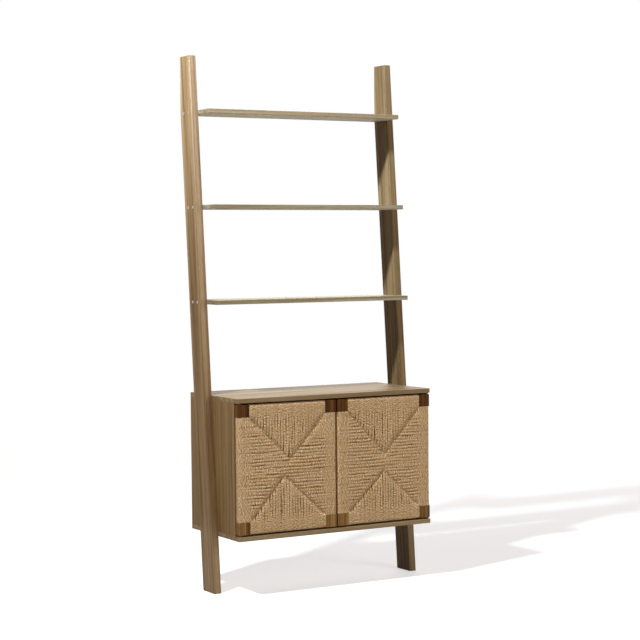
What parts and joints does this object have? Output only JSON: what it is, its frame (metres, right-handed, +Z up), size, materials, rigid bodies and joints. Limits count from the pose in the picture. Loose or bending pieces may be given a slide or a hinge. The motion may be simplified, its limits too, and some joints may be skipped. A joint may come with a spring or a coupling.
{
  "type": "ladder shelf",
  "caption": "Ladder shelf whose stiles lean back against a wall and carry open boards above a low cabinet with cord-woven doors that swing on corner pivots.",
  "frame": {"origin": "on the floor, under the middle of the outer box", "axes": "+Z up, +Y towards the wall that it leans on, the doors face -Y, +X to the right of a person who faces the doors"},
  "size_m": [0.8, 0.35, 1.8],
  "materials": {
    "veneered_board": "satin",
    "back_board": "matte",
    "dark_wood": "satin",
    "paper_cord": "matte",
    "beech": "matte",
    "plated_steel": "satin",
    "brass": "satin",
    "dark_plastic": "matte",
    "pale_plastic": "matte"
  },
  "bodies": {
    "frame": {"left_stile": "veneered_board", "right_stile": "veneered_board", "top_shelf": "veneered_board", "middle_shelf": "veneered_board", "lower_shelf": "veneered_board", "cabinet_top": "veneered_board", "cabinet_bottom": "veneered_board", "inner_shelf": "veneered_board", "left_side_panel": "veneered_board", "right_side_panel": "veneered_board", "back_panel": "back_board", "carcass_dowels": "beech", "left_shelf_screws": "plated_steel", "right_shelf_screws": "plated_steel", "left_cabinet_bolts": "plated_steel", "right_cabinet_bolts": "plated_steel", "shelf_pins": "plated_steel", "left_pivot_pins": "plated_steel", "right_pivot_pins": "plated_steel", "left_stile_inserts": "brass", "right_stile_inserts": "brass", "left_latch_body": "dark_plastic", "right_latch_body": "dark_plastic"},
    "left_door": {"left_door_outer_post": "dark_wood", "left_door_inner_post": "dark_wood", "left_door_top_rail": "dark_wood", "left_door_bottom_rail": "dark_wood", "left_door_weave": "paper_cord", "left_pivot_bushes": "brass", "left_strike_plate": "plated_steel"},
    "right_door": {"right_door_outer_post": "dark_wood", "right_door_inner_post": "dark_wood", "right_door_top_rail": "dark_wood", "right_door_bottom_rail": "dark_wood", "right_door_weave": "paper_cord", "right_pivot_bushes": "brass", "right_strike_plate": "plated_steel"},
    "left_plunger": {"left_latch_plunger": "pale_plastic"},
    "right_plunger": {"right_latch_plunger": "pale_plastic"}
  },
  "joints": [
    {"name": "left_door_hinge", "type": "hinge", "parent": "frame", "child": "left_door", "pos_m": [-0.3655, -0.1655, 0.4245], "axis": [0, 0, -1], "range_deg": [0, 110]},
    {"name": "left_latch_press", "type": "slide", "parent": "frame", "child": "left_plunger", "axis": [0, 1, 0], "range_m": [0, 0.0025], "stiffness_N_per_m": 400},
    {"name": "right_door_hinge", "type": "hinge", "parent": "frame", "child": "right_door", "pos_m": [0.3655, -0.1655, 0.4245], "axis": [0, 0, 1], "range_deg": [0, 110]},
    {"name": "right_latch_press", "type": "slide", "parent": "frame", "child": "right_plunger", "axis": [0, 1, 0], "range_m": [0, 0.0025], "stiffness_N_per_m": 400}
  ]
}
